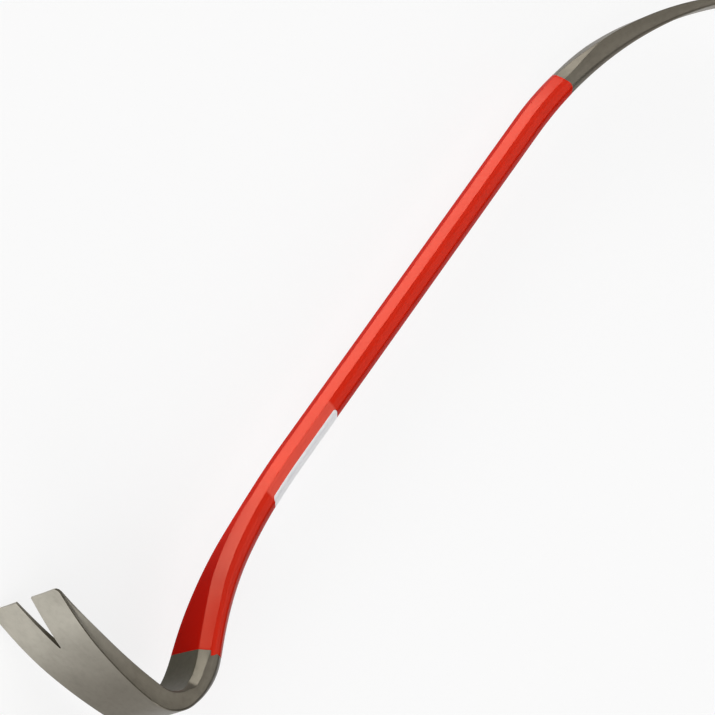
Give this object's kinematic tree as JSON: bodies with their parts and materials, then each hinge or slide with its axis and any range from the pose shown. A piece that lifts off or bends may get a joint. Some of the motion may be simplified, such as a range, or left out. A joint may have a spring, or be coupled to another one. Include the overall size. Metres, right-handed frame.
{
  "type": "crowbar",
  "caption": "Gooseneck wrecking bar: forked claw on a hooked end, straight enamelled octagonal shank with a blank sticker, and a curved flat chisel at the other end.",
  "frame": {"origin": "on the ground under the middle of the bounding box, with the bar lying on its side", "axes": "+X along the straight shank towards the chisel, +Y towards the side that the claw opens to, +Z square to the plane in which the bar bends"},
  "size_m": [0.7906, 0.164, 0.0678],
  "materials": {
    "lacquered_steel": "satin clear-lacquered forging",
    "red_enamel": "gloss",
    "white_film": "semi-gloss adhesive film"
  },
  "bodies": {
    "root": {"forged_bar": "lacquered_steel", "paint_coat": "red_enamel", "label": "white_film"}
  },
  "joints": []
}
